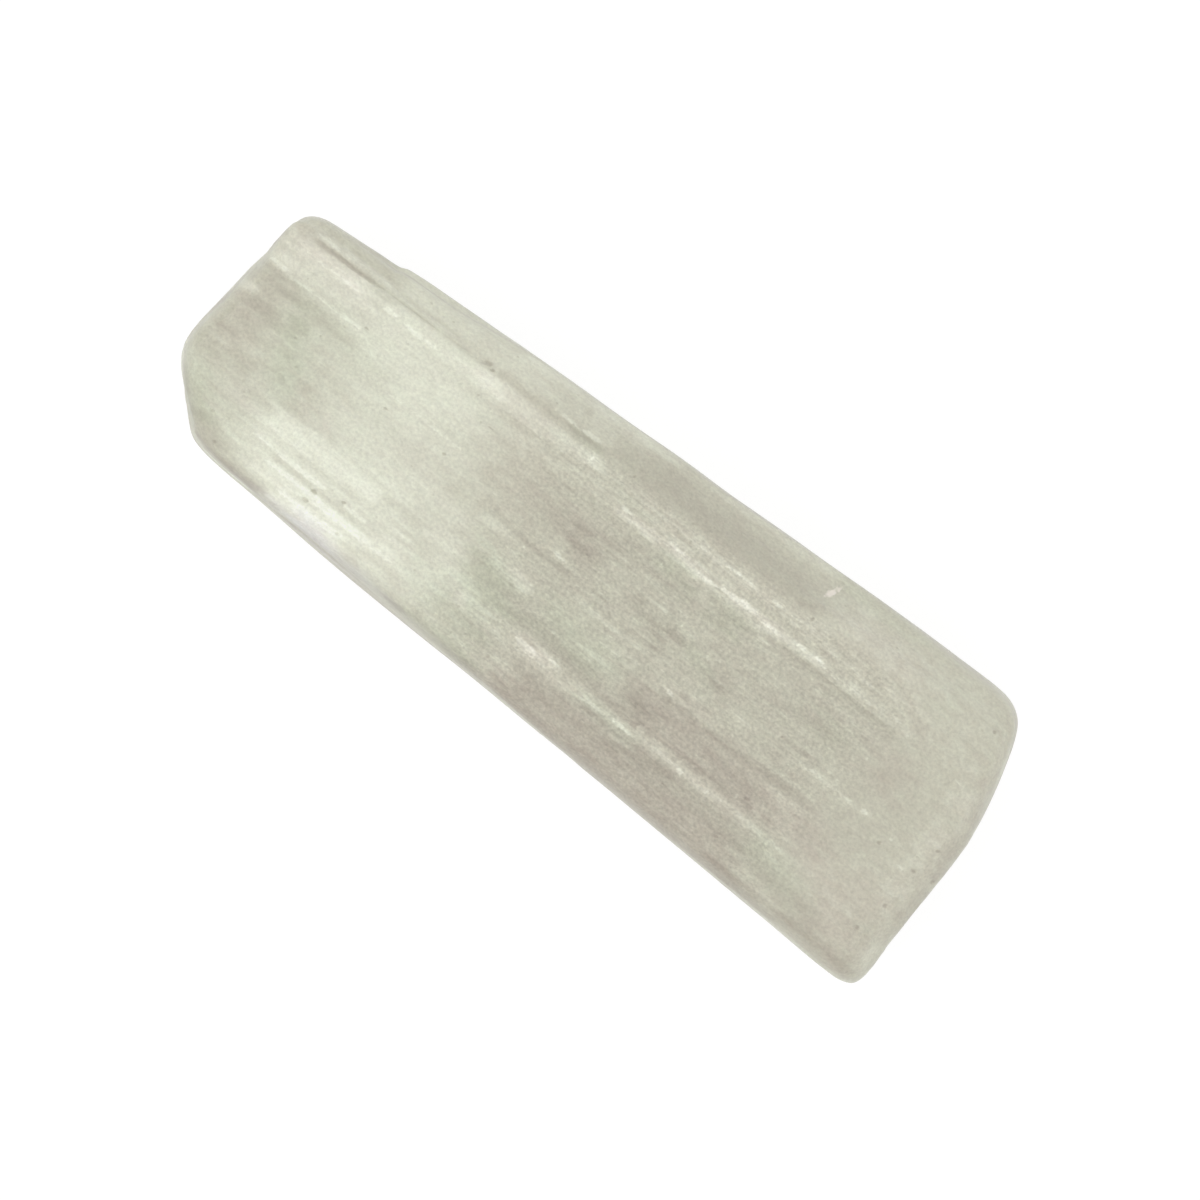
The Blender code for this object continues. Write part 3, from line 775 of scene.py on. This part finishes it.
def thin_lines(points, table, on_top):
    """How strong the strongest thin line is at each point. Past its edge a line fades over its border."""
    ragged = value_noise(points, (1.6, 0.5, 40.0), LINE_SEED)
    sway = 0.07 * value_noise(points, (3.0, 1.5, 40.0), SWAY_SEED)
    swayed = points + np.stack([np.zeros(len(points)), sway, np.zeros(len(points))], axis=1)
    strongest = np.zeros(len(points))
    for line in table:
        reach = min(0.22 * (line[1] - line[0]), 0.7)
        fade = 1.0 + (line[4] - from_middle(swayed, line)) / LINE_BORDER
        strength = line[5] * past_ends(points, line, ragged * 0.5, reach) * np.clip(fade, 0.0, 1.4)
        strongest = np.maximum(strongest, strength)
    return strongest * on_top


def thread_contrast(points, on_top):
    """How strongly the threads show: least in the milky third and behind, most past the middle."""
    x = points[:, 0]
    along = 0.15 + 0.67 * ease(x, *MILKY_END) - 0.66 * ease(x, *CALM_START)
    behind = ease(points[:, 1], *BACK_START)
    return along * (1.0 - 0.75 * behind) * on_top + 0.78 * (1.0 - on_top)


def grooves(points):
    """The fine flutes and grooves that run with the fibres."""
    total = np.zeros(len(points))
    for number, (length, breadth, height) in enumerate(GROOVES):
        wave = value_noise(points, (length, breadth, breadth), GROOVE_SEED + number)
        total += height * (0.4 - 1.6 * np.abs(wave))
    return total


def terraces(points):
    """Low steps along long tongues, where layers split away."""
    total = np.zeros(len(points))
    for number, (length, breadth, step) in enumerate(TERRACES):
        level = 2.6 * value_noise(points, (length, breadth, breadth), TERRACE_SEED + number)
        floor = np.floor(level)
        total += step * (floor + ease(level - floor, 0.44, 0.56) - 0.5)
    return total


def bundle_ends(points, at_end):
    """The lumpy ends of the fibre bundles, on the two short faces."""
    total = np.zeros(len(points))
    for number, (breadth, height) in enumerate(BUNDLE_ENDS):
        total += height * value_noise(points, (60.0, breadth, breadth * 0.8), BUNDLE_SEED + number)
    return total * at_end


def hollows(points, on_top):
    """The pits and seams: painted shade, 1 or more at the bottom of each and 0 past its edge; and their
    depth.
    """
    shade = np.zeros(len(points))
    depth = np.zeros(len(points))
    for x, y, half_length, half_breadth, deep in PITS:
        away = np.hypot((points[:, 0] - x) / half_length, (points[:, 1] - y) / half_breadth)
        shade = np.maximum(shade, np.clip(1.5 - 0.75 * away, 0.0, 1.5))
        depth = np.maximum(depth, deep * np.exp(-(away ** 2)))
    ragged = value_noise(points, (RAGGED_LENGTH, RAGGED_BREADTH, 40.0), SEAM_SEED)
    for seam in SEAMS:
        fade = 1.0 + (seam[4] - from_middle(points, seam)) / LINE_BORDER
        ends = past_ends(points, seam, ragged * 0.4, 2.4)
        shade = np.maximum(shade, seam[6] * ends * np.clip(fade, 0.0, 1.4))
        across = from_middle(points, seam) / (1.6 * seam[4])
        depth = np.maximum(depth, seam[5] * ends * np.exp(-(across ** 2)))
    return shade * on_top, depth * on_top


def nick(points, on_top):
    """1 along the pale nick across the back bevel."""
    x, y, bearing, half_length, half_breadth, _ = NICK
    turn = math.radians(bearing)
    along = (points[:, 0] - x) * math.cos(turn) + (points[:, 1] - y) * math.sin(turn)
    across = (points[:, 1] - y) * math.cos(turn) - (points[:, 0] - x) * math.sin(turn)
    away = np.hypot(along / half_length, across / half_breadth)
    away += 0.4 * value_noise(points, (0.5, 0.35, 40.0), NICK_SEED)
    return np.clip(1.6 - 0.6 * away, 0.0, 1.4) * on_top


def sliver_step(points):
    """The sharp edge where the sliver came away from the back side, at the narrow end."""
    along = points[:, 0] - SLIVER_END
    behind = ease(points[:, 1], *SLIVER_BACK)
    return SLIVER_STEP * np.tanh(along / 0.22) * np.exp(-((along / 1.3) ** 2)) * behind


def carve_relief(mesh, points, depth):
    """Raises and lowers the skin by the fibres' fine relief."""
    normals = mesh_normals(mesh)
    at_end = ease(np.abs(normals[:, 0]), 0.5, 0.9)
    above_base = ease(points[:, 2], 0.0, 0.9)
    calm_top = 1.0 - 0.6 * ease(normals[:, 2], 0.8, 0.97)
    calm_waist = 1.0 - SMOOTHED_OUTLINE * np.exp(-(((points[:, 2] - WAIST) / 3.2) ** 2))
    over_rim = ease(normals[:, 2], 0.05, 0.20) * (1.0 - ease(normals[:, 2], 0.60, 0.85))
    height = grooves(points) + terraces(points) * (1.0 - 0.85 * over_rim)
    height *= calm_top * (1.0 - 0.7 * at_end)
    height += 0.6 * bundle_ends(points, at_end)
    height += DIMPLES * (1.0 - 0.6 * at_end) * value_noise(points, (6.0, 3.0, 3.0), DIMPLE_SEED)
    height = (height - 0.02) * calm_waist + sliver_step(points)
    carved = points + normals * ((height - depth) * above_base)[:, None]
    set_mesh_points(mesh, np.clip(carved, LOW, HIGH))


def add_mask(mesh, name, values):
    """Keeps one number for each point of the mesh, for the finish to read."""
    layer = mesh.attributes.new(name, "FLOAT", "POINT")
    layer.data.foreach_set("value", values.astype(np.float32))


class Wire:
    """A number on its way through the finish, which can be added to, multiplied and so on."""

    def __init__(self, finish, socket):
        self.finish = finish
        self.socket = socket

    def worked(self, operation, first, second):
        return self.finish.add("ShaderNodeMath", {"operation": operation}, {0: first, 1: second})

    def __add__(self, other):
        return self.worked("ADD", self, other)

    __radd__ = __add__

    def __sub__(self, other):
        return self.worked("SUBTRACT", self, other)

    def __rsub__(self, other):
        return self.worked("SUBTRACT", other, self)

    def __mul__(self, other):
        return self.worked("MULTIPLY", self, other)

    __rmul__ = __mul__

    def __pow__(self, other):
        return self.worked("POWER", self, other)


class Finish:
    """A material under construction."""

    def __init__(self, name):
        self.material = bpy.data.materials.new(name)
        self.material.use_nodes = True
        self.nodes = self.material.node_tree.nodes
        self.links = self.material.node_tree.links
        self.surface = self.nodes["Principled BSDF"]

    def add(self, kind, settings, values, output=0):
        """Adds one node: its settings first, then the values or wires of its sockets."""
        node = self.nodes.new(kind)
        for name, value in settings.items():
            setattr(node, name, value)
        self.feed(node, values)
        return Wire(self, node.outputs[output])

    def feed(self, node, values):
        """Gives sockets of a node their values, or links them to wires."""
        for name, value in values.items():
            if isinstance(value, Wire):
                self.links.new(value.socket, node.inputs[name])
            else:
                node.inputs[name].default_value = value

    def place(self):
        """Where a point is on the piece, in millimetres."""
        place = self.add("ShaderNodeTexCoord", {}, {}, "Object")
        return self.add("ShaderNodeVectorMath", {"operation": "SCALE"}, {0: place, "Scale": 1.0 / MM})

    def stretched(self, place, sizes):
        """The place measured in lumps of the given sizes."""
        ratios = [1.0 / size for size in sizes]
        return self.add("ShaderNodeVectorMath", {"operation": "MULTIPLY"}, {0: place, 1: ratios})

    def noise(self, place, sizes, detail=3.0, roughness=0.55, distortion=0.0, offset=0.0):
        """Noise from 0 to 1 in lumps of the given sizes."""
        shift = (offset, offset, offset)
        shifted = self.add("ShaderNodeVectorMath", {"operation": "ADD"}, {0: place, 1: shift})
        values = {
            "Vector": self.stretched(shifted, sizes), "Scale": 1.0, "Detail": detail, "Roughness": roughness,
            "Distortion": distortion,
        }
        return self.add("ShaderNodeTexNoise", {"noise_dimensions": "3D"}, values, "Fac")

    def mask(self, name):
        """A mask that the mesh carries."""
        return self.add("ShaderNodeAttribute", {"attribute_name": name}, {}, "Fac")

    def between(self, value, start, end):
        """0 where the value is start or less, 1 where it is end or more, and smooth in between."""
        settings = {"interpolation_type": "SMOOTHSTEP"}
        return self.add("ShaderNodeMapRange", settings, {"Value": value, "From Min": start, "From Max": end})

    def blend(self, share, first, second):
        """From the first colour to the second, by share."""
        node = self.nodes.new("ShaderNodeMix")
        node.data_type = "RGBA"
        node.clamp_factor = True
        self.feed(node, {0: share, 6: first, 7: second})
        return Wire(self, node.outputs[2])

    def tinted(self, share, colour, factors):
        """The colour multiplied by factors for red, green and blue, by share."""
        other = self.add("ShaderNodeVectorMath", {"operation": "MULTIPLY"}, {0: colour, 1: factors})
        return self.blend(share, colour, other)


def satin_spar():
    """Milky, fibrous selenite: streaks, clouds and veins along X, in a soft silky surface."""
    finish = Finish("satin_spar")
    place = finish.place()
    tone_mask = finish.mask("tone")
    tint_mask = finish.mask("tint")
    threads = finish.mask("threads")
    elsewhere = 1.0 - finish.mask("on_top")

    cloud = finish.noise(place, (17.0, 4.2, 4.2), detail=2.0, roughness=0.5, distortion=0.3, offset=3.0)
    streak = finish.noise(place, (7.5, 0.62, 0.62), detail=3.0, roughness=0.60, distortion=0.2, offset=11.0)
    thread = finish.noise(place, (2.3, 0.21, 0.21), detail=3.0, roughness=0.62, distortion=0.0, offset=23.0)
    dash = finish.noise(place, (0.85, 0.14, 0.14), detail=2.0, roughness=0.6, distortion=0.0, offset=37.0)
    grain = finish.noise(place, (0.29, 0.25, 0.25), detail=2.0, roughness=0.62, distortion=0.0, offset=31.0)
    mottle = finish.noise(place, (1.5, 0.9, 0.9), detail=2.0, roughness=0.6, distortion=0.4, offset=53.0)
    fray = finish.noise(place, (0.42, 0.26, 0.26), detail=3.0, roughness=0.65, distortion=0.4, offset=47.0)
    split = finish.noise(place, (0.75, 0.26, 0.26), detail=3.0, roughness=0.65, distortion=0.4, offset=71.0)

    # Thin lines and hollows have ragged edges, and the weak ones break up into dashes.
    light_line = finish.between(finish.mask("light_lines") + (fray - 0.5) * 1.5, 0.58, 1.10)
    dark_line = finish.between(finish.mask("dark_lines") + (split - 0.5) * 1.5, 0.55, 1.15)
    hollow_painted_shade = finish.between(finish.mask("hollows") + (split - 0.5) * 0.7, 0.60, 1.10)
    bruise = finish.between(finish.mask("bruise") + (fray - 0.5) * 0.6, 0.70, 1.10)
    fleck = finish.between(dash, 0.64, 0.76) * threads
    settings = {"voronoi_dimensions": "3D", "feature": "F1"}
    cells = {"Vector": finish.stretched(place, (1.25, 1.1, 1.1)), "Scale": 1.0, "Randomness": 1.0}
    speck = 1.0 - finish.between(finish.add("ShaderNodeTexVoronoi", settings, cells, "Distance"), 0.06, 0.13)
    speck = speck * finish.between(mottle, 0.40, 0.60)

    # Veins and clouds where the listed strokes end: on the sides, the ends and the underside
    vein_place = finish.noise(place, (34.0, 1.9, 1.9), detail=2.0, roughness=0.5, distortion=0.5, offset=61.0)
    vein = finish.between(vein_place, 0.61, 0.69) * finish.between(streak, 0.36, 0.60) * elsewhere
    patch = elsewhere * ((cloud - 0.5) * 1.2 - 0.05)

    # The milkier a place is, the fainter are its threads and lines.
    lively = 1.0 - finish.between(tone_mask, -0.04, 0.24) * 0.45
    fibres = threads * ((streak - 0.5) * 0.42 + (thread - 0.5) * 0.46 + (dash - 0.5) * 0.16 + fleck * 0.22)
    tone = 0.5 + tone_mask * (0.75 + streak * 0.5) + patch
    tone = tone + lively * (fibres + (mottle - 0.5) * 0.30)
    tone = tone + light_line * (0.15 + threads * 0.09) - dark_line * (0.06 + threads * 0.10)
    # The pits and the seam are darkened with painted shade.
    tone = tone + vein * 0.27 - hollow_painted_shade * 0.28 - speck * 0.16

    colour = finish.blend(tone * 2.0, DARK_SPAR, MIDDLE_SPAR)
    colour = finish.blend(tone * 2.0 - 1.0, colour, PALE_SPAR)
    leaning = tint_mask + (mottle - 0.5) * 1.1 + elsewhere * (cloud - 0.5) * 1.6
    colour = finish.tinted(leaning, colour, (0.965, 1.006, 0.972))
    colour = finish.tinted(leaning * -1.0, colour, (1.008, 0.962, 0.985))
    # A blue-white reflection painted on the front bevel
    colour = finish.tinted(finish.mask("painted_reflection_blue"), colour, (1.0, 0.985, 1.12))
    grainy = 1.0 + (grain - 0.5) * (0.43 + threads * 0.44)
    colour = finish.add("ShaderNodeVectorMath", {"operation": "SCALE"}, {0: colour, "Scale": grainy})
    colour = finish.blend(bruise * 0.8, colour, BRUISED_SPAR)

    rough = 0.40 + (thread - 0.5) * 0.16 + (grain - 0.5) * 0.14 + light_line * 0.12 + hollow_painted_shade * 0.25
    relief = (streak - 0.5) * 0.8 + (thread - 0.5) * 0.8 + (grain - 0.5) * 0.25 - speck * 0.5 - hollow_painted_shade * 0.3
    bump = finish.add("ShaderNodeBump", {}, {"Strength": 0.40, "Distance": 0.08 * MM, "Height": relief})

    finish.feed(finish.surface, {
        "Base Color": colour, "Roughness": rough, "Normal": bump, "IOR": 1.52, "Metallic": 0.0,
        "Transmission Weight": 0.20, "Subsurface Weight": 0.30, "Subsurface Radius": (1.0, 1.0, 0.85),
        "Subsurface Scale": 1.2 * MM, "Specular IOR Level": 0.28,
    })
    return finish.material


def dress_wand():
    """The wand's skin, with its relief, masks and finish."""
    mesh = box_grid()
    points = lay_on_solid(mesh, smoothed_solid())
    facing_up = mesh_normals(mesh)[:, 2]
    on_top = ease(points[:, 2], *TOP_HEIGHTS) * ease(facing_up, *TOP_FACING)
    painted_shade_in_hollows, hollow_depth = hollows(points, on_top)
    bruise = nick(points, on_top)
    tone = PALE_SHARE * strokes(points, PALE_AND_SHEEN, on_top) - DULL_SHARE * strokes(points, DULL_AND_RIM_SHADE, on_top)
    # Painted shade where the skin turns down, and the painted sheen in its clear-bordered places
    painted_rim_shade_share = 1.0 - ease(facing_up, *TURNED_DOWN)
    tone += bordered(points, PAINTED_SHEENS, on_top) - PAINTED_RIM_SHADE * painted_rim_shade_share
    masks = {
        "tone": tone,
        "tint": strokes(points, TINTS, on_top) + PAINTED_RIM_GREEN * painted_rim_shade_share,
        "painted_reflection_blue": strokes(points, PAINTED_REFLECTION_BLUES, on_top),
        "light_lines": thin_lines(points, LIGHT_LINES_AND_HIGHLIGHT, on_top),
        "dark_lines": thin_lines(points, DARK_LINES, on_top),
        "hollows": painted_shade_in_hollows,
        "bruise": bruise,
        "threads": thread_contrast(points, on_top),
        "on_top": on_top,
    }
    for name, values in masks.items():
        add_mask(mesh, name, values)
    carve_relief(mesh, points, hollow_depth + NICK[-1] * np.clip(bruise, 0.0, 1.0))
    mesh.shade_smooth()
    mesh.materials.append(satin_spar())
    wand = bpy.data.objects.new("satin_spar_wand", mesh)
    bpy.context.scene.collection.objects.link(wand)
    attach(wand, "root")
    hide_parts(NODE)
    return wand


def lay_floor():
    """A plain white table that glows a little, so that it stays white round the wand."""
    finish = Finish("white_table")
    finish.feed(finish.surface, {
        "Base Color": TABLE_COLOUR, "Roughness": 0.9, "Emission Color": (1.0, 1.0, 1.0, 1.0),
        "Emission Strength": TABLE_GLOW, "Specular IOR Level": 0.0,
    })
    bm = bmesh.new()
    bmesh.ops.create_grid(bm, x_segments=1, y_segments=1, size=TABLE_REACH)
    mesh = bpy.data.meshes.new("table")
    bm.to_mesh(mesh)
    bm.free()
    mesh.materials.append(finish.material)
    floor = bpy.data.objects.new("table", mesh)
    floor.location = (0.0, 0.0, -TABLE_GAP * MM)
    bpy.context.scene.collection.objects.link(floor)


def soft_light(name, place, size, power, tint):
    """A soft lamp that faces the wand's middle. Places are in millimetres, sizes in metres."""
    lamp = bpy.data.lights.new(name, "AREA")
    lamp.shape = "RECTANGLE"
    lamp.size, lamp.size_y = size
    lamp.energy = power
    lamp.color = tint
    holder = bpy.data.objects.new(name, lamp)
    holder.location = Vector(place) * MM
    aim = Vector((0.0, 0.0, TOP / 2.0)) * MM - holder.location
    holder.rotation_euler = aim.to_track_quat("-Z", "Y").to_euler()
    holder.visible_camera = False
    bpy.context.scene.collection.objects.link(holder)


def light_and_camera():
    """A bright even surround, a soft lamp past the front side, and the camera straight above."""
    world = bpy.data.worlds.new("surround")
    world.use_nodes = True
    world.node_tree.nodes["Background"].inputs["Color"].default_value = (1.0, 1.0, 1.0, 1.0)
    world.node_tree.nodes["Background"].inputs["Strength"].default_value = 1.0
    bpy.context.scene.world = world
    soft_light("front_lamp", LAMP_PLACE, LAMP_SIZE, LAMP_POWER, LAMP_TINT)

    camera = bpy.data.cameras.new("camera")
    camera.sensor_width = SENSOR_WIDTH
    camera.lens = SENSOR_WIDTH * CAMERA_DISTANCE / PHOTO_WIDTH
    camera.clip_start, camera.clip_end = 0.01, 10.0
    holder = bpy.data.objects.new("camera", camera)
    holder.location = Vector((*CAMERA_SPOT, WAIST + CAMERA_DISTANCE)) * MM
    holder.rotation_euler = (0.0, 0.0, math.radians(CAMERA_TURN))
    bpy.context.scene.collection.objects.link(holder)
    bpy.context.scene.camera = holder


bpy.context.scene.view_settings.view_transform = "Standard"
dress_wand()
lay_floor()
light_and_camera()
